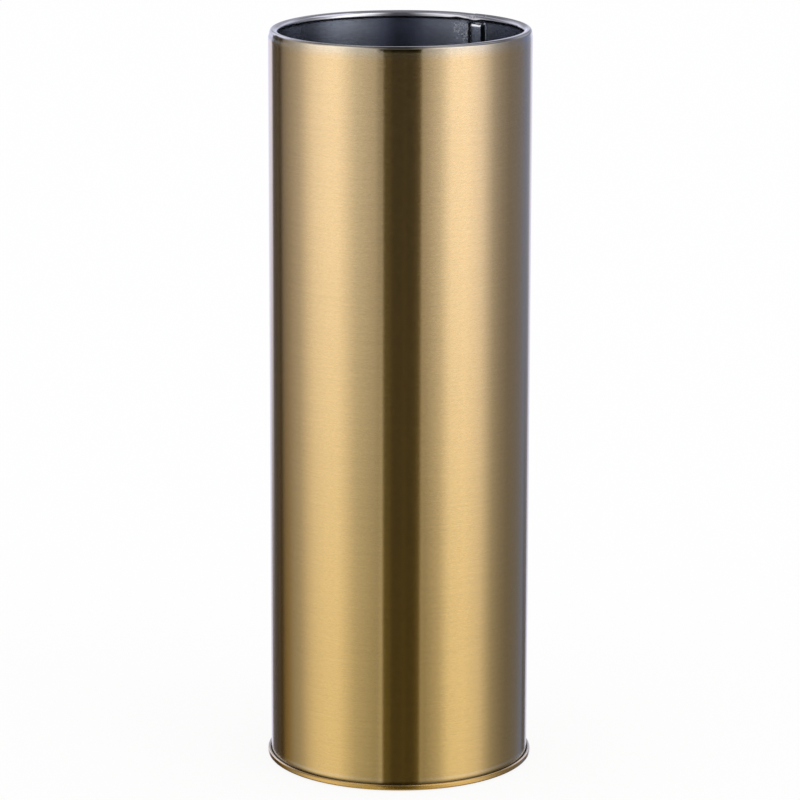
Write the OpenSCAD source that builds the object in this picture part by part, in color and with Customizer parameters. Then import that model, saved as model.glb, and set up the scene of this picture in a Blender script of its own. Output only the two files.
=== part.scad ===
// Round umbrella stand, made as a sheet-metal vessel: a rolled shell closed by a lock seam, a pressed
// base plate double-seamed to it, the sealing compound inside that seam, a lift-out drip tray and the
// rubber pads that it stands on.
// Millimetres. +Z is up, the origin is on the floor under the middle of the stand, -Y is the front.

/* [Shell] */
// Overall height of the stand
height = 500; // [420:5:650]
// Outside diameter of the shell
shell_d = 174.8; // [160:0.2:220]
// Thickness of the shell's sheet
shell_t = 0.5; // [0.4:0.05:0.5]
// Outside diameter of the hollow bead that the rim is rolled into
curl_d = 5.6; // [4.6:0.2:7]
// How far the rim's free edge is rolled round
curl_turn = 318; // [270:2:320]

/* [Lock seam] */
// Direction of the seam from +X towards +Y, in degrees
seam_angle = 54.2; // [0:0.1:359]
// Width of the four folded layers
seam_w = 9; // [8:0.5:12]
// Play between two layers of a seam
seam_play = 0.1; // [0.08:0.01:0.12]

/* [Base] */
// Thickness of the base plate's sheet
base_t = 0.6; // [0.5:0.05:0.6]
// Height of the double seam that stands round the foot
foot_h = 3.8; // [3.8:0.1:5]
// Play between the hooks of the double seam
hook_play = 0.2; // [0.18:0.01:0.22]
// Depth of the base panel's underside above the foot's edge
recess = 5; // [5:0.5:8]
// Height of the ring that is pressed into the base panel to stiffen it
bead_h = 1.2; // [0.6:0.1:1.4]

/* [Floor pads] */
// Number of pads under the base panel
pads = 4; // [4:1:4]
// Diameter of a pad
pad_d = 12; // [8:0.5:14]
// How far the pads reach below the foot's edge
pad_proud = 0.8; // [0.5:0.1:2]

/* [Drip tray] */
// Depth of the tray from foot to lip
tray_h = 32; // [24:1:45]
// Wall thickness of the moulded tray
tray_t = 1.6; // [1.4:0.1:2]
// Free space all round between the tray's lip and the rolled rim
tray_clear = 1.6; // [1.2:0.1:3]
// Number of ribs that keep umbrella tips out of the water
tray_ribs = 6; // [4:1:10]

/* [Hidden] */
$fn = 180;

shell_r = shell_d / 2;
curl_r = curl_d / 2;
wall_mid_r = shell_r - shell_t / 2;
foot_z = pad_proud;

// Double seam: the shell's hook is clasped by the base plate's hook, and each layer follows the next.
cover_hook_r = shell_r + hook_play + base_t / 2;
body_hook_r = cover_hook_r + base_t / 2 + hook_play + shell_t / 2;
foot_wall_r = body_hook_r + shell_t / 2 + hook_play + base_t / 2;
chuck_wall_r = shell_r - shell_t - seam_play - base_t / 2;
body_turn_r = (body_hook_r - wall_mid_r) / 2;
cover_turn_r = (foot_wall_r - cover_hook_r) / 2;
body_turn_z = foot_z + base_t + seam_play + shell_t / 2 + body_turn_r;
cover_turn_z = foot_z + foot_h - base_t / 2 - cover_turn_r;
body_hook_top = cover_turn_z - 0.15;
cover_hook_low = body_turn_z - 0.1;
foot_corner_r = 0.9;
foot_corner_z = foot_z + base_t / 2 + foot_corner_r;

// Base panel with its pressed stiffening bead
panel_z = foot_z + recess + base_t / 2;
panel_corner_r = 1.5;
panel_edge_r = chuck_wall_r - panel_corner_r;
bead_mid_r = 0.7 * shell_r;
bead_top_w = 6;
bead_side_w = 3;
bead_w = bead_top_w + 2 * bead_side_w;

// Pads
pad_ring_r = (bead_mid_r + bead_w / 2 + panel_edge_r) / 2;
pad_h = foot_z + recess;
pad_taper = 0.7;
pad_edge_r = 0.6;

// Lock seam: depth of each layer's middle below the outside of the shell, from the outermost inwards.
layer = shell_t + seam_play;
seam_sink = 0.08;
depth = [for (i = [0:3]) seam_sink + shell_t / 2 + i * layer];
seam_low_z = foot_z + recess + base_t + 1;
seam_top_z = height - curl_d - 2.4;
seam_reach = seam_w / 2 + 7;
seam_end = 0.5;
joggle_w = 1.9;

// Drip tray
rest_gap = 0.3;
tray_foot_h = 2;
tray_foot_z = foot_z + recess + base_t + rest_gap;
tray_floor_z = tray_foot_z + tray_foot_h + tray_t / 2;
tray_lip_r = shell_r - curl_d - tray_clear;
tray_roll_r = 1.2;
tray_wall_top_r = tray_lip_r - tray_roll_r - tray_t / 2;
tray_wall_low_r = tray_wall_top_r - 1.8;
tray_corner_r = 5;
tray_foot_r = tray_wall_low_r - tray_corner_r - 1.4;
tray_top_z = tray_foot_z + tray_h - tray_t / 2;
rib_h = 3;
rib_t = 1.8;
rib_ring_r = 0.45 * shell_r;
rib_inner_r = 14;
rib_ring_drop = 0.8;

// Points of an arc about centre c from angle a0 to a1, in n steps.
function arc(c, r, a0, a1, n) = [for (i = [0:n]) let (a = a0 + (a1 - a0) * i / n) c + r * [cos(a), sin(a)]];

// Points between p and q, at even steps and without p and q themselves.
function between(p, q) = [for (i = [1:5]) p + (q - p) * i / 6];

function unit(v) = v / norm(v);

// Direction of the path at its point i.
function heading(path, i) =
    unit((i < len(path) - 1 ? unit(path[i + 1] - path[i]) : [0, 0])
        + (i > 0 ? unit(path[i] - path[i - 1]) : [0, 0]));

// How much further a mitred corner lies from the path than a straight edge does.
function mitre(path, i) =
    (i == 0 || i == len(path) - 1) ? 1 : 1 / (unit(path[i] - path[i - 1]) * heading(path, i));

// Outline of a sheet of thickness t whose middle follows the path.
function sheet(path, t) =
    let (side = [for (i = [0:len(path) - 1])
        let (d = heading(path, i)) [-d.y, d.x] * mitre(path, i) * t / 2])
    concat(
        [for (i = [0:len(path) - 1]) path[i] + side[i]],
        [for (i = [len(path) - 1:-1:0]) path[i] - side[i]]);

// A smooth step from [u0, v0] to [u1, v1] that starts and ends level.
function joggle(u0, v0, u1, v1, n) =
    [for (i = [0:n]) [u0 + (u1 - u0) * i / n, v0 + (v1 - v0) * (1 - cos(180 * i / n)) / 2]];

// Turns a path given as [way round the shell, depth below its outside] into points in plan.
function wrap(path) =
    [for (p = path) let (a = seam_angle + p.x / shell_r * 180 / PI) (shell_r - p.y) * [cos(a), sin(a)]];

// The shell's section, from the tip of its hook, under the foot, up the wall and round the bead.
shell_path = concat(
    [[body_hook_r, body_hook_top]],
    arc([wall_mid_r + body_turn_r, body_turn_z], body_turn_r, 0, -180, 10),
    arc([shell_r - curl_r, height - curl_r], curl_r - shell_t / 2, 0, curl_turn, 26));

// The base plate's section, from the tip of its hook over the shell's hook to the middle of the panel.
base_path = concat(
    [[cover_hook_r, cover_hook_low]],
    arc([cover_hook_r + cover_turn_r, cover_turn_z], cover_turn_r, 180, 0, 10),
    arc([foot_wall_r - foot_corner_r, foot_corner_z], foot_corner_r, 0, -90, 6),
    arc([chuck_wall_r + foot_corner_r, foot_corner_z], foot_corner_r, -90, -180, 6),
    arc([panel_edge_r, panel_z - panel_corner_r], panel_corner_r, 0, 90, 6),
    joggle(bead_mid_r + bead_w / 2, panel_z, bead_mid_r + bead_top_w / 2, panel_z + bead_h, 6),
    joggle(bead_mid_r - bead_top_w / 2, panel_z + bead_h, bead_mid_r - bead_w / 2, panel_z, 6),
    [[0, panel_z]]);

// One edge of the shell's sheet lies outermost and folds in and back over itself.
under_turn = -seam_w / 2 + 1.2;
under_tip = seam_w / 2 - 1.8;
fold_under = concat(
    [[seam_reach, depth[0]]],
    between([seam_reach, depth[0]], [under_turn, depth[0]]),
    arc([under_turn, depth[1]], layer, 270, 90, 8),
    between([under_turn, depth[2]], [under_tip, depth[2]]),
    [[under_tip, depth[2]]]);

// The other edge steps inwards over that fold, turns round its end and runs back inside it.
over_step = -seam_w / 2 + 0.3;
over_turn = seam_w / 2 - layer - shell_t / 2;
over_tip = -seam_w / 2 + 2;
fold_over = concat(
    [[-seam_reach, depth[0]]],
    between([-seam_reach, depth[0]], [over_step - joggle_w, depth[0]]),
    joggle(over_step - joggle_w, depth[0], over_step, depth[3], 8),
    between([over_step, depth[3]], [over_turn, depth[3]]),
    arc([over_turn, depth[2]], layer, 90, -90, 8),
    between([over_turn, depth[1]], [over_tip, depth[1]]),
    [[over_tip, depth[1]]]);

tray_path = concat(
    [[0, tray_floor_z]],
    arc([tray_wall_low_r - tray_corner_r, tray_floor_z + tray_corner_r], tray_corner_r, -90, 0, 8),
    arc([tray_wall_top_r + tray_roll_r, tray_top_z - tray_roll_r], tray_roll_r, 180, 60, 8));

// The part of the wall that the folded edges take the place of, less the overlap that joins them.
module seam_sector() {
    a = (seam_reach - seam_end) / shell_r * 180 / PI;
    rotate([0, 0, seam_angle])
        linear_extrude(seam_top_z - seam_low_z)
            polygon([[0, 0], 2 * shell_r * [cos(a), -sin(a)], 2 * shell_r * [cos(a), sin(a)]]);
}

// One rolled sheet: hooked foot, wall, beaded rim, and its two edges folded together up the back.
module shell() {
    color([0.72, 0.55, 0.27])
    union() {
        difference() {
            rotate_extrude() polygon(sheet(shell_path, shell_t));
            translate([0, 0, seam_low_z]) seam_sector();
        }
        translate([0, 0, seam_low_z - seam_end])
            linear_extrude(seam_top_z - seam_low_z + 2 * seam_end)
                union() {
                    polygon(sheet(wrap(fold_under), shell_t));
                    polygon(sheet(wrap(fold_over), shell_t));
                }
    }
}

// Pressed dish with a raised panel, whose edge is rolled round the shell's hook.
module base_plate() {
    color([0.70, 0.52, 0.24])
        rotate_extrude() polygon(sheet(base_path, base_t));
}

// Rubber compound squeezed into the top of the double seam, which makes the vessel watertight.
module seam_sealant() {
    space = cover_turn_r - base_t / 2 - 0.04;
    low = body_hook_top + 0.04 - cover_turn_z;
    color([0.35, 0.34, 0.32])
        rotate_extrude()
            translate([cover_hook_r + cover_turn_r, cover_turn_z])
                polygon(concat([[space, low], [space, 0]], arc([0, 0], space, 0, 180, 8), [[-space, low]]));
}

module tray_rib() {
    translate([rib_inner_r, -rib_t / 2, tray_floor_z])
        cube([tray_foot_r - rib_inner_r, rib_t, tray_t / 2 + rib_h]);
}

module tray_ring(r, low, high) {
    rotate_extrude()
        translate([r - rib_t / 2, low])
            square([rib_t, high - low]);
}

// Moulded tray that lies loose on the base panel and lifts out through the rim.
module drip_tray() {
    color([0.09, 0.09, 0.10])
    union() {
        rotate_extrude() polygon(sheet(tray_path, tray_t));
        tray_ring(tray_foot_r, tray_foot_z, tray_floor_z);
        tray_ring(rib_ring_r, tray_floor_z, tray_floor_z + tray_t / 2 + rib_h - rib_ring_drop);
        for (i = [0:tray_ribs - 1])
            rotate([0, 0, 360 / tray_ribs * (i + 0.5)]) tray_rib();
    }
}

// Rubber pad stuck under the base panel, a little longer than the foot is deep.
module floor_pad(i) {
    pad_r = pad_d / 2;
    color([0.10, 0.10, 0.10])
        rotate([0, 0, 360 / pads * (i - 0.5)])
            translate([pad_ring_r, 0, 0])
                rotate_extrude($fn = 64)
                    polygon(concat(
                        [[0, pad_h], [0, 0]],
                        arc([pad_r - pad_taper - pad_edge_r, pad_edge_r], pad_edge_r, -90, 0, 5),
                        [[pad_r, pad_h]]));
}

shell();
base_plate();
seam_sealant();
drip_tray();
floor_pad(1);  // floor_pad_1
floor_pad(2);  // floor_pad_2
floor_pad(3);  // floor_pad_3
floor_pad(4);  // floor_pad_4
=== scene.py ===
"""Looks of the round brushed-metal umbrella stand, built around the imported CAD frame.

The shell and the base plate are swept again as smooth sheets, so that their reflections run clean and the
lock seam, its flattened end and the crumpled bead above it can be real shapes. The drip tray is a new skin
with rounder fillets and ribs. The pads and the sealing compound stay the CAD's own solids and get materials.
"""
import math

import bmesh
import bpy
import numpy as np
from mathutils import Matrix, Vector, noise


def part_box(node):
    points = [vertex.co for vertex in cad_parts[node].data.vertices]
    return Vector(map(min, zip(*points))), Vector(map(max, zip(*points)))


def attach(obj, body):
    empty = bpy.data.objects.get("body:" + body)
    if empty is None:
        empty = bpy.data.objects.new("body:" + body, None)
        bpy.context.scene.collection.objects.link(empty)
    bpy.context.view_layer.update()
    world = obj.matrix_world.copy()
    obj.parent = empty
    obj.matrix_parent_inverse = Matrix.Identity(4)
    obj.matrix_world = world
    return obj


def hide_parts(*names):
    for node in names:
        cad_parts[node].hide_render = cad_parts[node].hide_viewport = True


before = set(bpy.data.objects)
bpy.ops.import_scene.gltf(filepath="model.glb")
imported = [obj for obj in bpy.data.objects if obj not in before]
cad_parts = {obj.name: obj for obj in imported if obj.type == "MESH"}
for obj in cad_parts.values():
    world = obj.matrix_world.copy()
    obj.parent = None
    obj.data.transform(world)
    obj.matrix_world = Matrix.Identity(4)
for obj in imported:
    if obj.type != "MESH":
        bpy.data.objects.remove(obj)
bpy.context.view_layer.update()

MM = 0.001

# ---------------------------------------------------------------- sizes, from the frame
vessel_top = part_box("shell")[1][2]
hook_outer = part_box("shell")[1][0]
foot_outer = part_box("base_plate")[1][0]
foot_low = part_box("base_plate")[0][2]
tray_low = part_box("drip_tray")[0][2]
tray_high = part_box("drip_tray")[1][2]

SHELL_T = 0.5 * MM
BASE_T = 0.6 * MM
HOOK_PLAY = 0.2 * MM
SEAM_PLAY = 0.1 * MM
TRAY_LIFT = 0.3 * MM         # the tray stands this far above the base panel
TOP_PLAY = 0.01 * MM         # the bead stays this far under the CAD's top
CURL_R = 2.8 * MM
FOOT_H = 3.8 * MM
FOOT_CORNER = 0.9 * MM
PANEL_CORNER = 1.5 * MM
SHELL_HOOK_END = 0.15 * MM   # how far the shell's hook ends under the middle of the plate's turn
PLATE_HOOK_END = 0.1 * MM    # how far the plate's hook ends under the middle of the shell's turn
PANEL_RING_H = 1.2 * MM      # the stiffening ring pressed into the base panel
PANEL_RING_FOOT = 6 * MM
PANEL_RING_CROWN = 3 * MM

shell_r = foot_outer - 2 * HOOK_PLAY - 2 * BASE_T - SHELL_T - HOOK_PLAY
wall_mid = shell_r - SHELL_T / 2
cover_hook = shell_r + HOOK_PLAY + BASE_T / 2
body_hook = hook_outer - SHELL_T / 2
foot_wall = foot_outer - BASE_T / 2
chuck_wall = shell_r - SHELL_T - SEAM_PLAY - BASE_T / 2
body_turn = (body_hook - wall_mid) / 2
cover_turn = (foot_wall - cover_hook) / 2
body_turn_z = foot_low + BASE_T + SEAM_PLAY + SHELL_T / 2 + body_turn
cover_turn_z = foot_low + FOOT_H - BASE_T / 2 - cover_turn
foot_top = foot_low + FOOT_H
panel_top = tray_low - TRAY_LIFT
panel_z = panel_top - BASE_T / 2
panel_edge = chuck_wall - PANEL_CORNER
panel_ring = 0.7 * shell_r
curl_centre = (shell_r - CURL_R, vessel_top - CURL_R)

# The bead is an oval leaning inwards: how far in its crest is, the height of its outer rounding, and the
# heights of its inner side above and below the innermost point.
BEAD_CREST = 1.35 * MM
BEAD_SHOULDER = 2.2 * MM
BEAD_CHEEK = 3.45 * MM
BEAD_BELLY = 1.9 * MM
BEAD_IN = 2 * CURL_R - BEAD_CREST
BEAD_END = 275.0             # where the sheet ends, just short of the wall
bead_top = vessel_top - TOP_PLAY
crest_r = shell_r - BEAD_CREST

# The lock seam's middle, in degrees from +X towards +Y; "along" is the way round from it, in metres.
SEAM_ANGLE = 53.5
seam_rad = math.radians(SEAM_ANGLE)


def below_top(depth):
    """The height that lies this many millimetres under the rim."""
    return vessel_top - depth * MM


# ---------------------------------------------------------------- outlines
def oval(cx, cz, rx, rz, a0, a1, n):
    """Points round a centre from one angle to another, in degrees, both ends kept."""
    angles = np.radians(np.linspace(a0, a1, n + 1))
    return np.column_stack([cx + rx * np.cos(angles), cz + rz * np.sin(angles)])


def arc(cx, cz, r, a0, a1, n):
    return oval(cx, cz, r, r, a0, a1, n)


def run(p, q, n):
    """Points from p to q, both left out."""
    steps = np.arange(1, n)[:, None] / n
    return np.array(p) + (np.array(q) - np.array(p)) * steps


def joggle(r0, z0, r1, z1, n):
    """A smooth step from one height to another."""
    f = np.linspace(0, 1, n + 1)
    return np.column_stack([r0 + (r1 - r0) * f, z0 + (z1 - z0) * (1 - np.cos(np.pi * f)) / 2])


def tangents(path):
    d = np.diff(path, axis=0)
    d /= np.linalg.norm(d, axis=1)[:, None]
    t = np.vstack([d[:1], d[:-1] + d[1:], d[-1:]])
    return t / np.linalg.norm(t, axis=1)[:, None]


def sheet(path, thickness):
    """The closed outline of a sheet round its middle line: one side out, the other back, rounded ends."""
    t = tangents(path)
    side = np.column_stack([-t[:, 1], t[:, 0]]) * thickness / 2
    cap = thickness * 0.35
    return np.vstack([path + side, path[-1:] + t[-1:] * cap, (path - side)[::-1], path[:1] - t[:1] * cap])


# ---------------------------------------------------------------- meshes
def ring_angles(count, fine_at=None, fine_span=0.0, fine_step=0.0):
    """Angles round the axis: evenly spaced, with a closer stretch round one of them."""
    even = np.linspace(0, 2 * np.pi, count, endpoint=False)
    if fine_at is None:
        return even
    off = (even - fine_at + np.pi) % (2 * np.pi) - np.pi
    far = even[np.abs(off) > fine_span]
    close = fine_at + np.arange(-fine_span, fine_span + fine_step / 2, fine_step)
    return np.sort(np.concatenate([far, close % (2 * np.pi)]))


def make_piece(name, verts, faces, smooth_angle):
    """A new object with doubled points joined, and smooth but for edges sharper than the angle."""
    mesh = bpy.data.meshes.new(name)
    mesh.from_pydata([tuple(v) for v in verts], [], faces)
    mesh.validate()
    work = bmesh.new()
    work.from_mesh(mesh)
    bmesh.ops.remove_doubles(work, verts=work.verts, dist=0.001 * MM)
    bmesh.ops.delete(work, geom=[e for e in work.edges if not e.link_faces], context="EDGES")
    bmesh.ops.recalc_face_normals(work, faces=work.faces)
    work.to_mesh(mesh)
    work.free()
    piece = bpy.data.objects.new(name, mesh)
    bpy.context.scene.collection.objects.link(piece)
    bpy.ops.object.select_all(action="DESELECT")
    bpy.context.view_layer.objects.active = piece
    piece.select_set(True)
    bpy.ops.object.shade_smooth_by_angle(angle=math.radians(smooth_angle))
    piece.select_set(False)
    return piece


def ring_grid(name, r, z, turn, smooth_angle):
    """A closed skin over columns of points (radius, height, angle), each joined to the next one."""
    n, m = r.shape
    verts = np.stack([r * np.cos(turn), r * np.sin(turn), z], axis=2).reshape(-1, 3)
    faces = []
    for i in range(n):
        j = (i + 1) % n
        for k in range(m):
            l = (k + 1) % m
            faces.append((i * m + k, j * m + k, j * m + l, i * m + l))
    return make_piece(name, verts, faces, smooth_angle)


def sweep(name, outline, angles, smooth_angle, shape=None):
    """Turns a closed outline round +Z. shape(radii, heights, angles) may move the points."""
    m, n = len(outline), len(angles)
    r = np.repeat(outline[:, 0][None, :], n, axis=0)
    z = np.repeat(outline[:, 1][None, :], n, axis=0)
    if shape is not None:
        r, z = shape(r, z, angles)
    return ring_grid(name, r, z, np.repeat(angles[:, None], m, axis=1), smooth_angle)


def smooth_step(x, low, high):
    """A smooth rise from 0 at low to 1 at high."""
    f = np.clip((x - low) / (high - low), 0, 1)
    return f * f * (3 - 2 * f)


def bump_at(x, centre, half_width):
    """A smooth hump of height 1 that is gone at half_width from its centre."""
    f = np.clip(1 - np.abs(x - centre) / half_width, 0, 1)
    return f * f * (3 - 2 * f)


def bump_round(angles, centre, half_width):
    """The same hump at a place round the axis, in degrees from +X towards +Y."""
    return bump_at((np.degrees(angles) - centre + 180) % 360 - 180, 0, half_width)


# ---------------------------------------------------------------- shell
WALL_FOOT = 12 * MM          # the wall's rows are closer below this height
RIM_ZONE = 16 * MM           # and in this zone under the rim
SEAM_H = 1.95 * MM           # how far the folded seam stands in from the wall
SEAM_LEFT = 4.3 * MM         # its steep edge
SEAM_RIGHT = -4.1 * MM       # its sloping edge
SEAM_SLOPE = 3.2 * MM
SEAM_TOP = below_top(8.7)
SEAM_RAMP = 1.7 * MM         # its end slopes back gently over this height and then drops
SEAM_RAMP_SHARE = 0.37       # how much of its height the gentle slope takes
SEAM_DROP = 0.8 * MM
SEAM_LOW = panel_top + 1.0 * MM
EDGE_IN = 0.25 * MM          # its steep edge begins this far inside its line and ends this far outside
EDGE_OUT = 0.35 * MM
CROWN_H = 0.10 * MM          # its top is slightly rounded
CROWN_AT = 0.2 * MM
CROWN_REACH = 4.4 * MM
GROOVE_AT = SEAM_LEFT + 1.1 * MM
GROOVE_DEPTH = 0.55 * MM     # the groove pressed beside the steep edge
GROOVE_REACH = 2.9 * MM
DIP_AT = SEAM_RIGHT - SEAM_SLOPE - 0.8 * MM
DIP_DEPTH = 0.16 * MM        # the shallow one at the foot of the slope
DIP_REACH = 1.2 * MM
FOLD_AT = SEAM_RIGHT - 0.9 * MM
FOLD_DEPTH = 0.30 * MM       # outside: the fine groove where the sheet folds in
FOLD_REACH = 1.2 * MM
SWELL_H = 0.28 * MM          # outside: the slight swelling over the pressed groove
SWELL_REACH = 3.0 * MM
RIM_SKEW = 0.45 * MM         # how much lower the rim is on one side
SHELL_COLUMNS = 288
SEAM_ZONE = 20 * MM          # this far on both sides of the seam the columns are closer
SEAM_STEP = 0.3 * MM

# The two ends of the sheet meet in a step on the bead, and one end dips towards it.
STEP_AT = 0.2 * MM
STEP_DIP = 0.38 * MM
STEP_REACH = 16 * MM
# Crumples of the bead over the seam: how far out, where along the rim and how wide, then the place and the
# width round the bead's own section, in degrees. The folded layers hang lower and further in, a dent lies
# beside them and a nick on the other side.
CRUMPLES = [
    (1.15 * MM, -1.2 * MM, 7.5 * MM, 235, 75),
    (-0.40 * MM, 13.0 * MM, 7.0 * MM, 205, 55),
    (-0.35 * MM, -10.4 * MM, 0.9 * MM, 125, 40)]
CREASE_H = 0.22 * MM         # small creases over the seam, and their size
CREASE_SIZE = 1.3 * MM
CREASE_AT = 0.5 * MM
CREASE_REACH = 7 * MM
CREASE_SEED = 3.0
# Where the bead leans further in, or less, and where the rim's top is drawn in: by how much, at which angle
# round the axis, and how far the change reaches to each side, in degrees.
BEAD_LEANS = [(1.9 * MM, -32, 50), (0.7 * MM, 160, 45), (-0.4 * MM, 245, 70)]
RIM_DRAWN_IN = [(1.0 * MM, 165, 45), (0.8 * MM, 200, 32), (0.9 * MM, 20, 48)]
FRONT_LEFT = (200, 32)       # here the drawn-in top begins lower
DRAWN_DEPTH = 6.5 * MM
DRAWN_EXTRA = 0.6 * MM

hook_path = np.vstack([
    [[body_hook, cover_turn_z - SHELL_HOOK_END]],
    arc(wall_mid + body_turn, body_turn_z, body_turn, 0, -180, 14)])
rim_low = (wall_mid, vessel_top - RIM_ZONE)
wall_path = np.vstack([
    run(hook_path[-1], (wall_mid, WALL_FOOT), 7), [[wall_mid, WALL_FOOT]],
    run((wall_mid, WALL_FOOT), rim_low, 18), [rim_low],
    run(rim_low, (wall_mid, bead_top - BEAD_SHOULDER), 26)])
half_t = SHELL_T / 2
curl_path = np.vstack([
    oval(crest_r, bead_top - BEAD_SHOULDER, BEAD_CREST - half_t, BEAD_SHOULDER - half_t, 0, 90, 16),
    oval(crest_r, bead_top - BEAD_CHEEK, BEAD_IN - half_t, BEAD_CHEEK - half_t, 90, 180, 18)[1:],
    oval(crest_r, bead_top - BEAD_CHEEK, BEAD_IN - half_t, BEAD_BELLY - half_t, 180, BEAD_END, 18)[1:]])
shell_path = np.vstack([hook_path, wall_path, curl_path])


def seam_profile(along):
    """How far the inner wall stands in, across the seam: a steep edge on one side, a straight slope on the
    other, and a pressed groove beside each."""
    f = np.clip((along - SEAM_RIGHT + SEAM_SLOPE) / SEAM_SLOPE, 0, 1)
    rise = 0.75 * f + 0.25 * f * f * (3 - 2 * f)
    fall = 1 - smooth_step(along, SEAM_LEFT - EDGE_IN, SEAM_LEFT + EDGE_OUT)
    groove = GROOVE_DEPTH * bump_at(along, GROOVE_AT, GROOVE_REACH) * smooth_step(along, 0, SEAM_LEFT)
    dip = DIP_DEPTH * bump_at(along, DIP_AT, DIP_REACH)
    crown = CROWN_H * bump_at(along, CROWN_AT, CROWN_REACH)
    return (SEAM_H + crown) * rise * fall - groove - dip


def outer_line(along):
    """How far the outer face stands in, across the seam: a fine groove on one side, a swelling on the
    other."""
    groove = FOLD_DEPTH * bump_at(along, FOLD_AT, FOLD_REACH)
    return groove - SWELL_H * bump_at(along, GROOVE_AT, SWELL_REACH)


def crumpled(along, turn, on_curl):
    """How far the bead's sheet is pushed out from the bead's own centre, near the seam."""
    dip = (along > STEP_AT) * (1 - smooth_step(along, STEP_AT, STEP_REACH))
    push = -STEP_DIP * dip * bump_at(turn, 95, 95)
    for size, at, reach, turn_at, turn_reach in CRUMPLES:
        push += size * bump_at(along, at, reach) * bump_at(turn, turn_at, turn_reach)
    near = bump_at(along, CREASE_AT, CREASE_REACH) * bump_at(turn, 150, 75)
    crease = np.zeros_like(turn)
    for i, k in zip(*np.nonzero((near > 0) & on_curl)):
        across = turn[i, k] * 0.05 * MM
        crease[i, k] = noise.noise(Vector((along[i, 0] / CREASE_SIZE, across / CREASE_SIZE, CREASE_SEED)))
    push += CREASE_H * near * crease
    return np.where(on_curl, push, 0)


def shape_shell(r, z, angles):
    """The seam, the crumpled and leaning bead, and the uneven rim. The outline has the inner face first."""
    index = np.arange(r.shape[1])[None, :]
    half = len(shell_path)
    hook, wall, curl = len(hook_path), len(wall_path), len(curl_path)
    on_wall = (index >= hook) & (index < hook + wall)
    on_back = (index > half + curl) & (index <= half + curl + wall)
    on_curl = (index >= half - curl) & (index < half + 2 + curl)
    along = ((angles - seam_rad + np.pi) % (2 * np.pi) - np.pi)[:, None] * shell_r
    # the seam, pressed flat just under the bead and above the base panel
    above = z - SEAM_TOP
    ramp = 1 - SEAM_RAMP_SHARE * np.clip(above / SEAM_RAMP, 0, 1)
    ramp -= (1 - SEAM_RAMP_SHARE) * smooth_step(above, SEAM_RAMP, SEAM_RAMP + SEAM_DROP)
    span = smooth_step(z, SEAM_LOW - 1.0 * MM, SEAM_LOW) * ramp
    r = r - np.where(on_wall, seam_profile(along) * span, 0)
    r = r - np.where(on_back, outer_line(along) * span, 0)
    # the bead: angle round its own centre, 0 at the wall, 90 at the top, 180 at the inner side
    turn = np.degrees(np.arctan2(z - curl_centre[1], r - curl_centre[0])) % 360
    push = crumpled(along, turn, on_curl)
    r = r + push * np.cos(np.radians(turn))
    z = z + push * np.sin(np.radians(turn))
    # the bead leans further in at some places, but its outer side, where turn is near 0 or 360, stays put
    lean = sum(size * bump_round(angles, at, reach) for size, at, reach in BEAD_LEANS)
    over = np.where(turn > 300, 0, turn)
    lean = lean[:, None] * smooth_step(over, 25, 80) * (1 - 0.5 * smooth_step(over, 120, 180))
    r = r - np.where(on_curl, lean, 0)
    # the rim's top is drawn in a little at its two sides
    drawn_in = sum(size * bump_round(angles, at, reach) for size, at, reach in RIM_DRAWN_IN)
    starts = vessel_top - DRAWN_DEPTH - DRAWN_EXTRA * bump_round(angles, *FRONT_LEFT)
    r = r - drawn_in[:, None] * smooth_step(z, starts[:, None], below_top(1.0))
    # the rim was not rolled quite level
    low_side = (1 - np.cos(angles))[:, None] / 2
    z = z - RIM_SKEW * low_side * smooth_step(z, below_top(60), below_top(8))
    return r, z


shell_angles = ring_angles(SHELL_COLUMNS, seam_rad, SEAM_ZONE / shell_r, SEAM_STEP / shell_r)
shell = sweep("rolled_shell", sheet(shell_path, SHELL_T), shell_angles, 50.0, shape_shell)

# ---------------------------------------------------------------- base plate
corner_z = foot_low + BASE_T / 2 + FOOT_CORNER
ring_z = panel_z + PANEL_RING_H
base_path = np.vstack([
    [[cover_hook, body_turn_z - PLATE_HOOK_END]],
    arc(cover_hook + cover_turn, cover_turn_z, cover_turn, 180, 0, 20),
    arc(foot_wall - FOOT_CORNER, corner_z, FOOT_CORNER, 0, -90, 10),
    arc(chuck_wall + FOOT_CORNER, corner_z, FOOT_CORNER, -90, -180, 10),
    arc(panel_edge, panel_z - PANEL_CORNER, PANEL_CORNER, 0, 90, 10),
    joggle(panel_ring + PANEL_RING_FOOT, panel_z, panel_ring + PANEL_RING_CROWN, ring_z, 8),
    joggle(panel_ring - PANEL_RING_CROWN, ring_z, panel_ring - PANEL_RING_FOOT, panel_z, 8),
    run((panel_ring - PANEL_RING_FOOT, panel_z), (0, panel_z), 6),
    [[0, panel_z]]])
base_outline = sheet(base_path, BASE_T)
base_outline[:, 0] = np.maximum(base_outline[:, 0], 0)
base = sweep("seamed_base", base_outline, ring_angles(360), 35.0)

# ---------------------------------------------------------------- drip tray
TRAY_T = 1.6 * MM
TRAY_FOOT_H = 2.0 * MM
TRAY_CORNER = 5.0 * MM
TRAY_ROLL = 1.2 * MM
TRAY_PLAY = 1.6 * MM         # between the tray and the bead
TRAY_TAPER = 1.8 * MM        # how much narrower the tray is at its foot
RIBS = 6
RIB_H = 3.0 * MM
RIB_T = 1.8 * MM
RIB_START = 14.0 * MM
RIB_RING = 0.45 * shell_r
RIB_RING_DROP = 0.8 * MM
RIB_ROUND = 0.35 * MM        # how far a rib's side leans from top to floor
RIB_END = 0.1 * MM           # how far a rib's sloping end reaches past its place, and how far it reaches in
RIB_END_SLOPE = 0.35 * MM
FILLET = 0.5 * MM

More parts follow.
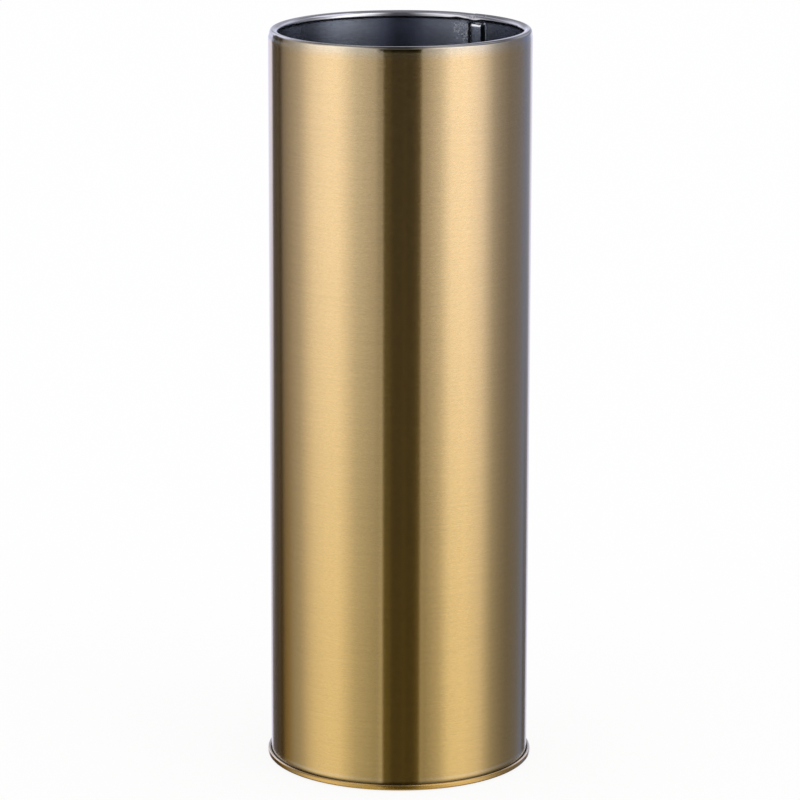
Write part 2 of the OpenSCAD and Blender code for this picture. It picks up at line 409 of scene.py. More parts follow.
floor_mid = tray_low + TRAY_FOOT_H + TRAY_T / 2
floor_top = floor_mid + TRAY_T / 2
floor_under = floor_mid - TRAY_T / 2
lip_mid = tray_high - TRAY_T / 2 - TRAY_ROLL
wall_top = shell_r - 2 * CURL_R - TRAY_PLAY - TRAY_T / 2 - TRAY_ROLL
corner_mid = wall_top - TRAY_TAPER - TRAY_CORNER
tray_foot = corner_mid - 1.4 * MM


def hump(middle, low, high):
    """One moulded ring in the outline: up and down again, with a round top and a filleted foot."""
    side = RIB_T / 2
    top = high - FILLET
    return np.vstack([
        arc(middle - side - FILLET, low + FILLET, FILLET, -90, 0, 4),
        arc(middle - side + FILLET, top, FILLET, 180, 90, 4),
        arc(middle + side - FILLET, top, FILLET, 90, 0, 4),
        arc(middle + side + FILLET, low + FILLET, FILLET, 180, 270, 4)])


def on_floor_line(radii):
    return np.column_stack([radii, np.full(len(radii), floor_top)])


# Radii of the tray's floor, closer together at both ends of the ribs.
floor_line = [0.0, 5 * MM, 10 * MM, 12.5 * MM]
for end, way in ((RIB_START, 1), (tray_foot, -1)):
    floor_line += [end + way * step * MM for step in (-0.3, -0.1, 0.05, 0.2, 0.35, 0.6)]
floor_line += [17 * MM, 24 * MM, 31 * MM, 36 * MM, 43 * MM, 50 * MM, 57 * MM, 64 * MM, 68 * MM]
floor_line = np.array(sorted(floor_line))
tray_top_line = np.vstack([
    on_floor_line(floor_line[floor_line < RIB_RING - 2 * MM]),
    hump(RIB_RING, floor_top, floor_top + RIB_H - RIB_RING_DROP),
    on_floor_line(floor_line[floor_line > RIB_RING + 2 * MM])])
foot_under = hump(0, 0, TRAY_FOOT_H)
tray_outline = np.vstack([
    tray_top_line,
    arc(corner_mid, floor_mid + TRAY_CORNER, TRAY_CORNER - TRAY_T / 2, -90, 0, 10),
    arc(wall_top + TRAY_ROLL, lip_mid, TRAY_ROLL + TRAY_T / 2, 180, 66, 14),
    arc(wall_top + TRAY_ROLL, lip_mid, TRAY_ROLL - TRAY_T / 2, 60, 180, 8),
    arc(corner_mid, floor_mid + TRAY_CORNER, TRAY_CORNER + TRAY_T / 2, 0, -90, 10),
    np.column_stack([tray_foot - foot_under[:, 0], floor_under - foot_under[:, 1]]),
    [[40 * MM, floor_under], [0, floor_under]]])

# Columns run straight beside each rib, and fan out in between.
rib_side = np.array([0, 0.35, 0.55, 0.66, 0.73, 0.80, 0.87, 0.94, 1.02, 1.12, 1.3, 1.7, 2.2]) * MM
rib_offsets = np.concatenate([-rib_side[:0:-1], rib_side])
BETWEEN = 20


def tray_columns():
    r = tray_outline[:, 0]
    z = tray_outline[:, 1]
    on_floor = np.arange(len(r)) < len(tray_top_line)
    reach = np.maximum(r, RIB_START)
    ends = smooth_step(r, RIB_START - RIB_END, RIB_START + RIB_END_SLOPE)
    ends = ends * (1 - smooth_step(r, tray_foot - RIB_END_SLOPE, tray_foot + RIB_END))
    columns, heights = [], []
    for i in range(RIBS):
        middle = 2 * math.pi / RIBS * (i + 0.5)
        for d in rib_offsets:
            columns.append(middle + np.arcsin(d / reach))
            share = 1 - smooth_step(abs(d), RIB_T / 2 - RIB_ROUND / 2, RIB_T / 2 + RIB_ROUND / 2)
            rib = np.where(on_floor, floor_top + RIB_H * share * ends, -1)
            heights.append(np.maximum(z, rib))
        last = columns[-1]
        following = 2 * math.pi / RIBS * (i + 1.5) - np.arcsin(rib_side[-1] / reach)
        for k in range(1, BETWEEN):
            columns.append(last + (following - last) * k / BETWEEN)
            heights.append(z)
    return np.repeat(r[None, :], len(columns), axis=0), np.array(heights), np.array(columns)


tray = ring_grid("moulded_drip_tray", *tray_columns(), 32.0)


# ---------------------------------------------------------------- node helpers
class Nodes:
    """Short calls for building a node tree."""

    def __init__(self, tree):
        self.tree = tree
        tree.nodes.clear()

    def add(self, kind, **settings):
        node = self.tree.nodes.new(kind)
        for key, value in settings.items():
            setattr(node, key, value)
        return node

    def link(self, source, target):
        self.tree.links.new(source, target)

    def feed(self, socket, value):
        if hasattr(value, "links"):
            self.link(value, socket)
        else:
            socket.default_value = value

    def math(self, operation, a, b=0.0, clamp=False):
        node = self.add("ShaderNodeMath", operation=operation, use_clamp=clamp)
        self.feed(node.inputs[0], a)
        self.feed(node.inputs[1], b)
        return node.outputs[0]

    def times(self, first, *others):
        for other in others:
            first = self.math("MULTIPLY", first, other)
        return first

    def centred(self, value, amount):
        """A noise shifted to swing about zero, at the given strength."""
        return self.times(self.math("SUBTRACT", value, 0.5), amount)

    def vector(self, operation, a, b=(0, 0, 0), out=0):
        node = self.add("ShaderNodeVectorMath", operation=operation)
        self.feed(node.inputs[0], a)
        self.feed(node.inputs[1], b)
        return node.outputs[out]

    def dot(self, a, b):
        return self.vector("DOT_PRODUCT", a, b, "Value")

    def scale(self, vector, factor):
        scaled = self.vector("SCALE", vector)
        self.feed(scaled.node.inputs["Scale"], factor)
        return scaled

    def split(self, vector):
        node = self.add("ShaderNodeSeparateXYZ")
        self.link(vector, node.inputs[0])
        return node.outputs

    def fade(self, value, low, high, to_low=0.0, to_high=1.0):
        node = self.add("ShaderNodeMapRange", interpolation_type="SMOOTHSTEP")
        for socket, v in zip(node.inputs, (value, low, high, to_low, to_high)):
            self.feed(socket, v)
        return node.outputs[0]

    def between(self, value, a, b, c, d):
        """1 from b to c, fading to 0 at a and at d."""
        return self.times(self.fade(value, a, b), self.fade(value, d, c))

    def mix(self, factor, a, b):
        node = self.add("ShaderNodeMix", data_type="RGBA")
        self.feed(node.inputs["Factor"], factor)
        self.feed(node.inputs["A"], a)
        self.feed(node.inputs["B"], b)
        return node.outputs["Result"]

    def noise(self, vector, scale, detail=2.0, roughness=0.5):
        node = self.add("ShaderNodeTexNoise")
        self.feed(node.inputs["Vector"], vector)
        node.inputs["Scale"].default_value = scale
        node.inputs["Detail"].default_value = detail
        node.inputs["Roughness"].default_value = roughness
        return node.outputs["Fac"]

    def streaks(self, vector, scales, detail=2.0, roughness=0.5):
        """Noise drawn out by different scales along the axes."""
        return self.noise(self.vector("MULTIPLY", vector, scales), 1.0, detail, roughness)

    def ramp(self, factor, stops):
        node = self.add("ShaderNodeValToRGB")
        ramp = node.color_ramp
        while len(ramp.elements) > 1:
            ramp.elements.remove(ramp.elements[-1])
        ramp.elements[0].position = stops[0][0]
        ramp.elements[0].color = (*stops[0][1], 1)
        for position, colour in stops[1:]:
            ramp.elements.new(position).color = (*colour, 1)
        self.feed(node.inputs[0], factor)
        return node.outputs[0]

    def bump(self, height, strength, distance):
        node = self.add("ShaderNodeBump")
        node.inputs["Strength"].default_value = strength
        node.inputs["Distance"].default_value = distance
        self.link(height, node.inputs["Height"])
        return node.outputs[0]


def new_material(name):
    material = bpy.data.materials.new(name)
    material.use_nodes = True
    n = Nodes(material.node_tree)
    out = n.add("ShaderNodeOutputMaterial")
    shader = n.add("ShaderNodeBsdfPrincipled")
    n.link(shader.outputs[0], out.inputs[0])
    return material, n, shader


# ---------------------------------------------------------------- materials
GOLD = (0.91, 0.645, 0.335, 1)
# painted shade: the shell's gold darker and deeper towards the foot
GOLD_LOW_SHADED = (0.735, 0.485, 0.155, 1)
DEEP_GOLD = (0.70, 0.42, 0.10, 1)
# painted highlight: the gold paler under the rim
PALE_GOLD_HIGHLIGHT = (0.87, 0.77, 0.62, 1)
# painted reflection: a pale line on the wall above the foot ring
FOOT_LINE_REFLECTION = (0.86, 0.80, 0.68, 1)
# painted shade: the wall darker just above the foot ring
FOOT_GROOVE_SHADE = (0.20, 0.155, 0.06, 1)
# painted light: the foot ring brighter and more orange near its front and back
FOOT_FRONT_LIGHT = (0.95, 0.56, 0.10, 1)
# painted shade: the foot ring darker just under its top in front
FOOT_SHADE = (0.26, 0.18, 0.06, 1)
# painted highlight: a pale line along the foot ring's top at the sides
FOOT_CREST_HIGHLIGHT = (0.86, 0.83, 0.80, 1)
BASE_STEEL = (0.40, 0.42, 0.47, 1)
RIM_STEEL = (0.58, 0.575, 0.615, 1)
INNER_STEEL = (0.52, 0.56, 0.66, 1)
# painted highlight: a white line along the rim's crest
RIM_CREST_HIGHLIGHT = (0.97, 0.97, 1.0, 1)
# painted shade on the bead's outer shoulder in front
RIM_SHOULDER_SHADE = (0.06, 0.06, 0.06, 1)
# painted shade on the rim's far side
RIM_FAR_SHADE = (0.10, 0.10, 0.11, 1)
# painted shade on the rim's front right
RIM_FRONT_RIGHT_SHADE = (0.15, 0.15, 0.155, 1)
# painted shade on the rim's back right
RIM_BACK_RIGHT_SHADE = (0.18, 0.18, 0.19, 1)
# painted shade in the folds beside the seam
SEAM_FOLD_SHADE = (0.035, 0.037, 0.042, 1)
# painted highlight: glints along the seam's steep edge
SEAM_EDGE_GLINT = (0.85, 0.84, 0.84, 1)
SEAM_SCUFF = (0.75, 0.68, 0.60, 1)
# painted highlight on the seam's pressed end
SEAM_END_HIGHLIGHT = (1.0, 0.99, 0.98, 1)
WALL_ROUGH = 0.19
BASE_ROUGH = 0.27
RIM_ROUGH = 0.08


class Place:
    """Where a point of the sheet lies and how far it faces outwards, as node sockets."""

    def __init__(self, n):
        coords = n.add("ShaderNodeTexCoord")
        self.position = coords.outputs["Object"]
        self.x, self.y, self.height = n.split(self.position)
        self.sideways = n.math("ABSOLUTE", self.x)
        radial = n.vector("NORMALIZE", n.vector("MULTIPLY", self.position, (1, 1, 0)))
        self.facing_out = n.dot(coords.outputs["Normal"], radial)


def seam_marks_and_painted_light(n, at):
    """Masks for what lies in and beside the seam: painted shade in the folds along it, painted glints on its
    edge, the scuffs next to it, and a painted highlight on its pressed end."""
    way_x, way_y = math.cos(seam_rad), math.sin(seam_rad)
    outwards = n.math("ADD", n.times(at.x, way_x), n.times(at.y, way_y))
    along = n.math("SUBTRACT", n.times(at.y, way_x), n.times(at.x, way_y))
    near = n.fade(outwards, 0.90 * shell_r, 0.95 * shell_r)
    near = n.times(near, n.fade(at.height, SEAM_LOW, SEAM_LOW + MM))
    below = n.times(near, n.fade(at.height, below_top(6.6), below_top(7.6)))
    line = n.math("ADD", along, n.centred(n.streaks(at.position, (60, 60, 300)), 1.2 * MM))

    def strip(value, low, high, soft):
        return n.between(value, low - soft, low + soft, high - soft, high + soft)

    # painted shade along both sides of the seam
    left = strip(line, SEAM_LEFT + 0.3 * MM, SEAM_LEFT + 2.9 * MM, 0.35 * MM)
    right = strip(line, SEAM_RIGHT - SEAM_SLOPE + 0.2 * MM, SEAM_RIGHT - 0.3 * MM, 0.35 * MM)
    fold_shade = n.times(n.math("MAXIMUM", left, right), below)
    # painted highlight: dotted glints along the seam's steep edge
    dots = n.fade(n.streaks(at.position, (500, 500, 900), 1.0), 0.50, 0.56)
    edge_glint = n.times(strip(along, SEAM_LEFT - 0.7 * MM, SEAM_LEFT + 0.2 * MM, 0.15 * MM), dots, below)
    patch = n.fade(n.noise(at.position, 620.0, 3.0, 0.7), 0.51, 0.58)
    close = strip(along, SEAM_LEFT + 3.2 * MM, SEAM_LEFT + 6.6 * MM, 0.6 * MM)
    wide = n.times(strip(along, SEAM_LEFT + 4 * MM, SEAM_LEFT + 13 * MM, 3 * MM), 0.55)
    depth = n.between(at.height, below_top(24), below_top(12), below_top(9), below_top(7))
    scuffs = n.times(patch, n.math("MAXIMUM", close, wide), depth, near)
    # end: the mask of a painted highlight on the seam's sloping pressed end
    slope_top = SEAM_TOP + SEAM_RAMP
    slope = n.between(at.height, SEAM_TOP - 0.1 * MM, SEAM_TOP + 0.1 * MM, slope_top, slope_top + 0.5 * MM)
    end = n.times(strip(along, SEAM_RIGHT, SEAM_LEFT + 0.2 * MM, 0.3 * MM), slope, near)
    return fold_shade, edge_glint, scuffs, end


def brushing(n, position):
    """The brushed surface: its short and its fine scratches, and the shade of all its layers together."""
    short = n.streaks(position, (420, 420, 1500), 2.0, 0.6)
    long = n.streaks(position, (28, 28, 800), 1.0)
    fine = n.streaks(position, (90, 90, 5200), 2.0, 0.6)
    grain = n.noise(position, 1500.0, 1.0)
    cloud = n.noise(position, 14.0)
    shade = 1.0
    for layer, amount in ((short, 0.27), (long, 0.09), (fine, 0.10), (grain, 0.16), (cloud, 0.06)):
        shade = n.math("ADD", n.centred(layer, amount), shade)
    return short, fine, shade


def shell_lacquer_and_painted_light(n, at, gold, tone):
    """The gold on the shell: worn off the rim's two sides, paler under the rim as a painted highlight, with
    painted shade on the bead's shoulder in front, and with a painted reflection line and a band of painted
    shade along the foot."""
    to_side = n.fade(at.sideways, 0.55 * shell_r, 0.85 * shell_r)
    west = n.fade(at.x, -0.80 * shell_r, -0.93 * shell_r)
    bare_low = n.math("SUBTRACT", vessel_top, n.fade(west, 0.0, 1.0, 2.6 * MM, 6.6 * MM))
    upright = n.fade(west, 0.0, 1.0, 0.985, 0.999)
    tilted = n.fade(west, 0.0, 1.0, 0.88, 0.97)
    bare = n.times(n.fade(at.height, bare_low, n.math("ADD", bare_low, 1.0 * MM)), to_side)
    bare = n.times(bare, n.fade(at.facing_out, upright, tilted))
    gold = n.times(gold, n.math("SUBTRACT", 1.0, bare))
    # painted highlight: the gold turns paler towards the rim
    tone = n.mix(n.fade(at.height, below_top(11), below_top(0.5), 0.0, 0.85), tone, PALE_GOLD_HIGHLIGHT)
    above = n.math("SUBTRACT", at.height, foot_top)
    # painted reflection of the ring's top, a pale line on the wall above the foot
    line = n.between(above, 1.8 * MM, 2.6 * MM, 3.2 * MM, 4.4 * MM)
    tone = n.mix(n.times(line, n.fade(to_side, 0.0, 1.0, 0.14, 0.34)), tone, FOOT_LINE_REFLECTION)
    # painted shade in the groove just above the foot ring
    tone = n.mix(n.fade(above, 2.2 * MM, 0.3 * MM), tone, FOOT_GROOVE_SHADE)
    # painted shade: the bead's shoulder darkened in front
    shoulder = n.between(at.facing_out, 0.52, 0.70, 0.95, 0.999)
    shoulder = n.times(shoulder, n.fade(at.height, below_top(2.6), below_top(1.9)))
    shoulder = n.times(shoulder, n.fade(to_side, 0.0, 1.0, 0.88, 0.1))
    return gold, n.mix(shoulder, tone, RIM_SHOULDER_SHADE)


def shell_steel(n, at):
    """The bare steel inside, darker further down as painted shade, and paler on the bead."""
    # painted shade: the inner steel darkens further down
    inner = n.scale(INNER_STEEL[:3], n.fade(at.height, below_top(24), below_top(6), 0.66, 1.10))
    return n.mix(n.fade(at.height, below_top(6.2), below_top(4.6)), inner, RIM_STEEL)


def rim_painted_light(n, at):
    """Places on the rim that the photo shows brighter or duller: masks with their colours."""
    # all of these are painted: a highlight on the crest, and shade on the far side, the front right and the
    # back right
    outer_end = n.fade(at.sideways, 0.2 * shell_r, 0.5 * shell_r, 0.72, 0.40)
    inner_end = n.fade(at.sideways, 0.2 * shell_r, 0.5 * shell_r, 0.55, 0.22)
    # painted highlight along the rim's crest
    crest_highlight = n.fade(at.height, below_top(0.7), below_top(0.35))
    crest_highlight = n.times(crest_highlight, n.fade(at.facing_out, outer_end, inner_end))
    crest_highlight = n.times(crest_highlight, n.fade(at.y, 0.4 * shell_r, -0.2 * shell_r))
    # painted shade on the rim's far side
    far = n.times(n.fade(at.facing_out, -0.10, 0.25), n.fade(at.y, 0.5 * shell_r, 0.85 * shell_r))
    far = n.times(far, n.fade(at.height, below_top(2.6), below_top(1.6)), 0.9)
    top_zone = n.fade(at.height, below_top(2.8), below_top(1.9))
    # painted shade on the rim's front right
    front = n.fade(at.x, 0.25 * shell_r, 0.55 * shell_r)
    front = n.times(front, n.fade(at.y, 0.15 * shell_r, -0.10 * shell_r))
    front = n.times(front, n.between(at.facing_out, 0.15, 0.35, 0.93, 0.995), top_zone, 0.8)
    # painted shade on the rim's back right
    back = n.between(at.x, 0.52 * shell_r, 0.68 * shell_r, 0.82 * shell_r, 0.92 * shell_r)
    back = n.times(back, n.fade(at.y, 0.0, 0.3 * shell_r), top_zone, 0.45)
    return [(crest_highlight, RIM_CREST_HIGHLIGHT), (far, RIM_FAR_SHADE), (front, RIM_FRONT_RIGHT_SHADE), (back, RIM_BACK_RIGHT_SHADE)]


def shell_wear_and_painted_light(n, at, colour, roughness):
    """The smoother rim, the seam's scuffs and its painted shade and highlights, and the rim's painted
    highlight and shade, laid over the shell's colour.
    """
    on_rim = n.fade(at.height, below_top(5), below_top(3))
    roughness = n.math("SUBTRACT", roughness, n.times(on_rim, WALL_ROUGH - RIM_ROUGH))
    fold_shade, edge_glint, scuffs, end = seam_marks_and_painted_light(n, at)
    # scuffs are real, and the seam's folds, edge and end and the rim's marks are painted shade and highlight
    marks = [(fold_shade, SEAM_FOLD_SHADE), (n.times(edge_glint, 0.8), SEAM_EDGE_GLINT), (n.times(scuffs, 0.65), SEAM_SCUFF)]
    marks += [(n.times(end, 0.9), SEAM_END_HIGHLIGHT)] + rim_painted_light(n, at)
    for mask, tint in marks:
        colour = n.mix(mask, colour, tint)
    roughness = n.math("ADD", roughness, n.times(n.math("MAXIMUM", scuffs, edge_glint), 0.35))
    return colour, n.times(roughness, n.fade(end, 0.0, 1.0, 1.0, 0.4))


def foot_painted_light(n, at, colour):
    """The foot ring: painted shade just under its top in front, and a painted highlight along its top at the
    sides.
    """
    # painted shade just under the ring's top in front
    painted_shade = n.fade(at.height, foot_top - 1.3 * MM, foot_top - 0.5 * MM)
    painted_shade = n.times(painted_shade, n.fade(at.sideways, 0.92 * shell_r, 0.78 * shell_r, 0.0, 0.6))
    # painted highlight along the ring's top at the sides
    crest_highlight = n.fade(at.height, foot_top - 0.42 * MM, foot_top - 0.08 * MM)
    crest_highlight = n.times(crest_highlight, n.fade(at.sideways, 0.76 * shell_r, 0.93 * shell_r, 0.06, 0.9))
    return n.mix(crest_highlight, n.mix(painted_shade, colour, FOOT_SHADE), FOOT_CREST_HIGHLIGHT)


def brushed(name, gold_from, gold_to, colours, rough, shell_part=False):
    """Sheet steel brushed round the axis, lacquered gold where it faces outwards."""
    material, n, shader = new_material(name)
    at = Place(n)
    short, fine, shade = brushing(n, at.position)
    gold = n.fade(at.facing_out, gold_from, gold_to)
    # the shell's gold darkens towards the foot: painted shade
    tone = n.mix(n.fade(at.height, 0.0, vessel_top), *colours)
    roughness = n.math("ADD", n.centred(short, 0.07), rough)
    if shell_part:
        gold, tone = shell_lacquer_and_painted_light(n, at, gold, tone)
        colour = n.scale(n.mix(gold, shell_steel(n, at), tone), shade)
        colour, roughness = shell_wear_and_painted_light(n, at, colour, roughness)
    else:
        # painted light: brighter, more orange gold on the foot ring near its front and back
        tone = n.mix(n.fade(at.sideways, 0.45 * shell_r, 0.15 * shell_r), tone, FOOT_FRONT_LIGHT)
        colour = foot_painted_light(n, at, n.scale(n.mix(gold, BASE_STEEL, tone), shade))
    n.link(colour, shader.inputs["Base Color"])
    n.link(roughness, shader.inputs["Roughness"])
    scratches = n.math("ADD", n.times(short, 0.5), n.times(fine, 0.5))
    n.link(n.bump(scratches, 1.0, 0.004 * MM), shader.inputs["Normal"])
    tangent = n.add("ShaderNodeTangent", direction_type="RADIAL", axis="Z")
    n.link(tangent.outputs[0], shader.inputs["Tangent"])
    n.link(gold, shader.inputs["Coat Weight"])
    shader.inputs["Coat Roughness"].default_value = 0.10
    shader.inputs["Coat IOR"].default_value = 1.5
    shader.inputs["Metallic"].default_value = 1.0
    shader.inputs["Anisotropic"].default_value = 1.0 if shell_part else 0.4
    shader.inputs["Anisotropic Rotation"].default_value = 0.25
    return material


def moulded(name, colour, rough_low, rough_high, grain, depth):
    """Plastic or rubber with a fine moulded grain."""
    material, n, shader = new_material(name)
    position = n.add("ShaderNodeTexCoord").outputs["Object"]
    cloud = n.noise(position, 40.0, 3.0)
    shade = n.mix(cloud, tuple(c * 0.8 for c in colour) + (1,), tuple(c * 1.25 for c in colour) + (1,))
    n.link(shade, shader.inputs["Base Color"])
    n.link(n.fade(cloud, 0.3, 0.7, rough_low, rough_high), shader.inputs["Roughness"])
    n.link(n.bump(n.noise(position, grain, 2.0, 0.6), 0.6, depth), shader.inputs["Normal"])
    return material


shell_finish = brushed("brushed_gold_shell", 0.20, 0.85, (GOLD_LOW_SHADED, GOLD), WALL_ROUGH, shell_part=True)
base_finish = brushed("brushed_gold_base", -0.9, 0.1, (DEEP_GOLD, DEEP_GOLD), BASE_ROUGH)
tray_finish = moulded("moulded_tray", (0.022, 0.022, 0.024), 0.36, 0.52, 2600.0, 0.03 * MM)
pad_finish = moulded("pad_rubber", (0.03, 0.03, 0.03), 0.6, 0.8, 1500.0, 0.05 * MM)
sealant_finish = moulded("sealing_compound", (0.25, 0.24, 0.22), 0.7, 0.9, 900.0, 0.05 * MM)

shell.data.materials.append(shell_finish)
base.data.materials.append(base_finish)
tray.data.materials.append(tray_finish)


def finish_node(name, material):
    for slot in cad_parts[name].material_slots:
        slot.material = material


finish_node("seam_sealant", sealant_finish)
for i in range(1, 5):
    finish_node(f"floor_pad_{i}", pad_finish)

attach(shell, "vessel")
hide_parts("shell")
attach(base, "vessel")
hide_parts("base_plate")
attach(tray, "tray")
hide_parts("drip_tray")

# ---------------------------------------------------------------- floor and light
FLOOR_SIZE = 30.0
FLOOR_FILL = 0.88      # how much of the floor's light is an even fill, which keeps its shadows soft


def make_floor():
    """A pale floor. The camera and soft light see it, the metal's reflections look through it."""
    half = FLOOR_SIZE / 2
    floor = bpy.data.meshes.new("studio_floor")
    corners = [(-half, -half, 0), (half, -half, 0), (half, half, 0), (-half, half, 0)]
    floor.from_pydata(corners, [], [(0, 1, 2, 3)])
    piece = bpy.data.objects.new("studio_floor", floor)
    bpy.context.scene.collection.objects.link(piece)
    material, n, shader = new_material("pale_floor")
    shader.inputs["Base Color"].default_value = (0.90, 0.90, 0.905, 1)
    shader.inputs["Roughness"].default_value = 1.0
    shader.inputs["Specular IOR Level"].default_value = 0.0
    path = n.add("ShaderNodeLightPath")
    glow = n.add("ShaderNodeEmission")
    glow.inputs["Strength"].default_value = 1.0
    lit = n.add("ShaderNodeMixShader")
    n.link(n.times(path.outputs["Is Camera Ray"], FLOOR_FILL), lit.inputs[0])
    n.link(shader.outputs[0], lit.inputs[1])
    n.link(glow.outputs[0], lit.inputs[2])
    clear = n.add("ShaderNodeBsdfTransparent")
    mixed = n.add("ShaderNodeMixShader")
    n.link(path.outputs["Is Glossy Ray"], mixed.inputs[0])
    n.link(lit.outputs[0], mixed.inputs[1])
    n.link(clear.outputs[0], mixed.inputs[2])
    out = next(node for node in n.tree.nodes if node.type == "OUTPUT_MATERIAL")
    n.link(mixed.outputs[0], out.inputs[0])
    floor.materials.append(material)


make_floor()

# The studio round the object: the direction from the front, in degrees towards the right, and its light.
# The wall mirrors the low band, the rounded rim and foot mirror the high one.
STUDIO_LOW = [
    (-180, (0.82, 0.83, 1.00)), (-165, (0.74, 0.75, 0.92)), (-151, (0.76, 0.77, 0.98)),
    (-148.5, (0.088, 0.086, 0.094)), (-143, (0.074, 0.070, 0.070)), (-139, (0.052, 0.046, 0.038)),
    (-135.5, (0.080, 0.072, 0.062)), (-132, (0.046, 0.038, 0.026)), (-128.5, (0.036, 0.028, 0.014)),
    (-126, (0.13, 0.13, 0.13)), (-122, (0.21, 0.205, 0.20)), (-111, (0.32, 0.32, 0.32)),
    (-99, (0.46, 0.46, 0.46)), (-89, (0.73, 0.72, 0.71)), (-80, (0.92, 0.92, 0.91)),
    (-67, (1.02, 1.02, 1.0)), (-56, (1.01, 1.01, 0.99)), (-39, (0.58, 0.60, 0.60)),
    (-18, (0.40, 0.41, 0.40)), (22, (0.36, 0.36, 0.35)), (35, (0.57, 0.58, 0.58)),
    (45, (0.97, 0.98, 0.99)), (59, (1.04, 1.04, 1.05)), (75, (0.87, 0.88, 0.95)),
    (90, (0.39, 0.405, 0.44)), (99, (0.275, 0.28, 0.31)), (111, (0.185, 0.19, 0.21)),
    (127, (0.17, 0.18, 0.225)), (142, (0.17, 0.215, 0.36)), (155, (0.27, 0.31, 0.44)),
    (163, (0.72, 0.74, 0.92))]
STUDIO_HIGH = [
    (-180, (0.26, 0.26, 0.29)), (-168, (0.42, 0.42, 0.47)), (-150, (1.05, 1.05, 1.17)),
    (-135, (1.20, 1.20, 1.33)), (-126, (0.85, 0.85, 0.94)), (-117, (0.44, 0.44, 0.49)),
    (-99, (0.31, 0.31, 0.33)), (-80, (0.75, 0.75, 0.77)), (-64, (1.35, 1.35, 1.37)),
    (-50, (1.35, 1.35, 1.37)), (-36, (0.88, 0.88, 0.90)), (-20, (0.35, 0.35, 0.35)),
    (-10, (0.11, 0.11, 0.12)), (8, (0.11, 0.11, 0.12)), (20, (0.38, 0.38, 0.38)),
    (36, (1.40, 1.40, 1.42)), (50, (1.95, 1.95, 1.97)), (64, (2.00, 2.00, 2.02)),
    (80, (0.80, 0.80, 0.82)), (99, (0.36, 0.36, 0.38)), (117, (0.36, 0.36, 0.40)),
    (135, (0.75, 0.75, 0.84)), (150, (0.95, 0.95, 1.06)), (168, (0.46, 0.46, 0.52))]
# The narrow dark gap straight ahead, as a share of what is round it.
GAP_HALF = 24.0
STUDIO_GAP = [
    (-24, (1, 1, 1)), (-19, (1.04, 1.04, 1.04)), (-15.4, (1.30, 1.29, 1.25)),
    (-14.1, (0.25, 0.22, 0.085)), (-8.6, (0.24, 0.205, 0.075)), (-6.8, (0.12, 0.10, 0.035)),
    (1, (0.12, 0.10, 0.033)), (4, (0.16, 0.135, 0.045)), (7, (0.11, 0.09, 0.02)),
    (12.5, (0.115, 0.095, 0.022)), (14.5, (0.20, 0.16, 0.035)), (17.3, (0.27, 0.225, 0.06)),
    (19.2, (1.22, 1.20, 1.12)), (22, (0.98, 0.98, 0.97)), (24, (0.98, 0.98, 0.98))]
LOW_BEHIND = (0.09, 0.09, 0.10, 1)
LOW_FRONT_TOP = (0.026, 0.026, 0.024, 1)
WARM_SHARE = (1.0, 0.72, 0.25)
UNDERNEATH = (0.12, 0.11, 0.10, 1)
STRAIGHT_DOWN = (0.55, 0.55, 0.55, 1)
OVER_BACK = (0.30, 0.30, 0.33, 1)
LAMP = (1.25, 1.25, 1.36, 1)
OVERHEAD = (0.22, 0.22, 0.24, 1)
PLAIN_WALL = (1.05, 1.05, 1.05, 1)


def stops(plan, half=180.0):
    return [((a + half) / (2 * half), light) for a, light in plan]


def low_band(n, azimuth, aside, z, turned):
    """The studio near the horizon, with the dark gap in front."""
    around = n.math("ADD", n.math("DIVIDE", azimuth, 2 * math.pi), 0.5)
    across = n.math("ADD", n.math("DIVIDE", azimuth, math.radians(2 * GAP_HALF)), 0.5, clamp=True)
    low = n.vector("MULTIPLY", n.ramp(around, stops(STUDIO_LOW)), n.ramp(across, stops(STUDIO_GAP, GAP_HALF)))
    # the gap is darker higher up
    deeper = n.times(n.math("SUBTRACT", n.fade(z, -0.34, -0.10, 1.7, 0.04), 1.0), turned(aside, 22, 16))
    low = n.scale(low, n.math("ADD", deeper, 1.0))
    behind = n.times(turned(aside, 163, 157), turned(aside, 144, 148), n.fade(z, -0.15, -0.31))
    low = n.mix(behind, low, LOW_BEHIND)
    low = n.mix(n.times(turned(aside, 20, 10), n.fade(z, -0.10, 0.06)), low, LOW_FRONT_TOP)
    warm = n.times(turned(azimuth, -137, -130), turned(azimuth, -108, -120), n.fade(z, -0.20, -0.30))
    return around, n.mix(warm, low, n.vector("MULTIPLY", low, WARM_SHARE))


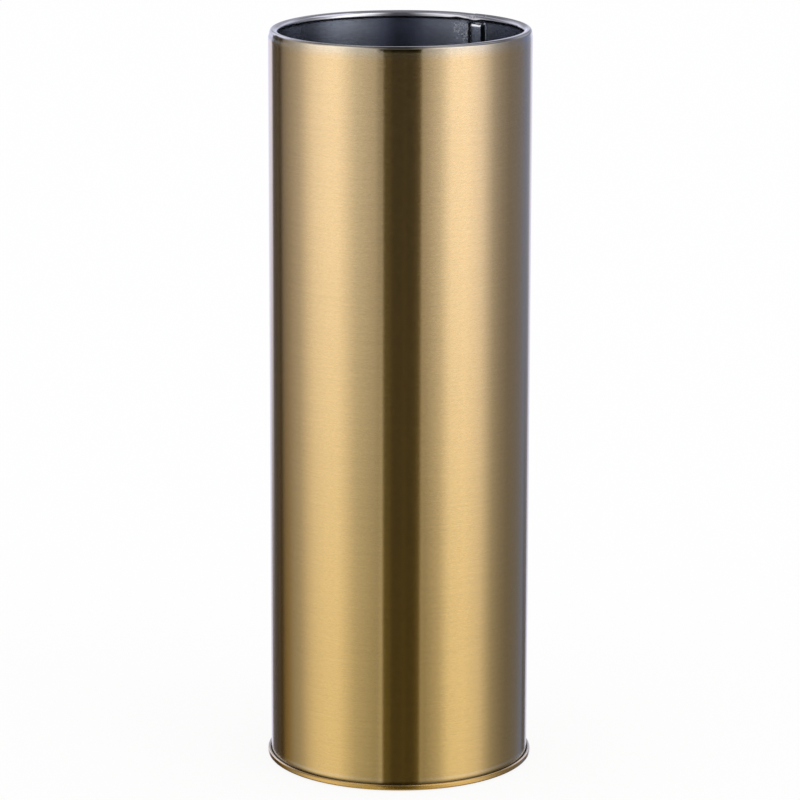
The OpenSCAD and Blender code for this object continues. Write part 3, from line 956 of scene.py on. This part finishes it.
def make_world():
    """Soft light from all round: two broad bright sides, a dark gap in front and a pale wall behind.
    The floor and the plastic get plain even light, and the camera sees a plain pale wall."""
    world = bpy.data.worlds.new("studio")
    bpy.context.scene.world = world
    world.use_nodes = True
    n = Nodes(world.node_tree)
    x, y, z = n.split(n.vector("NORMALIZE", n.add("ShaderNodeTexCoord").outputs["Generated"]))
    azimuth = n.math("ARCTAN2", x, n.times(y, -1.0))
    aside = n.math("ABSOLUTE", azimuth)

    def turned(value, low, high):
        return n.fade(value, math.radians(low), math.radians(high))

    around, low = low_band(n, azimuth, aside, z, turned)
    high = n.ramp(around, stops(STUDIO_HIGH))
    # on the left of the wall behind, the high band begins lower
    early = n.times(turned(azimuth, -142, -148), turned(azimuth, -166, -158), n.fade(z, -0.03, 0.06))
    studio = n.mix(n.math("MAXIMUM", early, n.fade(z, 0.02, 0.24)), low, high)
    studio = n.mix(n.fade(z, -0.42, -0.62), studio, UNDERNEATH)
    studio = n.mix(n.fade(z, -0.66, -0.86), studio, STRAIGHT_DOWN)
    studio = n.mix(n.times(turned(aside, 126, 146), n.fade(z, 0.42, 0.60)), studio, OVER_BACK)
    lamp = n.times(turned(azimuth, 60, 85), turned(azimuth, 150, 128), n.between(z, 0.62, 0.72, 0.90, 0.95))
    studio = n.mix(lamp, studio, LAMP)
    studio = n.mix(n.fade(z, 0.94, 0.99), studio, OVERHEAD)
    path = n.add("ShaderNodeLightPath")
    plain = n.math("MAXIMUM", path.outputs["Is Camera Ray"], path.outputs["Is Diffuse Ray"])
    background = n.add("ShaderNodeBackground")
    n.link(n.mix(plain, studio, PLAIN_WALL), background.inputs[0])
    background.inputs[1].default_value = 1.0
    out = n.add("ShaderNodeOutputWorld")
    n.link(background.outputs[0], out.inputs[0])


make_world()

# ---------------------------------------------------------------- camera
# Distances are in shell radii, angles in degrees and the lens in millimetres.
CAMERA_BACK = 31.007
CAMERA_UP = 10.0685
CAMERA_PITCH = 13.1545
CAMERA_YAW = -0.0049
CAMERA_ROLL = 0.125
CAMERA_LENS = 185.86


def make_camera():
    data = bpy.data.cameras.new("camera")
    data.lens = CAMERA_LENS
    data.sensor_width = 36.0
    data.clip_end = 100.0
    camera = bpy.data.objects.new("camera", data)
    bpy.context.scene.collection.objects.link(camera)
    place = Matrix.Translation((0, -CAMERA_BACK * shell_r, foot_low + CAMERA_UP * shell_r))
    turn = Matrix.Rotation(math.radians(CAMERA_YAW), 4, "Z")
    pitch = Matrix.Rotation(math.radians(90 - CAMERA_PITCH), 4, "X")
    roll = Matrix.Rotation(math.radians(CAMERA_ROLL), 4, "Z")
    camera.matrix_world = place @ turn @ pitch @ roll
    bpy.context.scene.camera = camera


make_camera()
bpy.context.scene.view_settings.view_transform = "Standard"
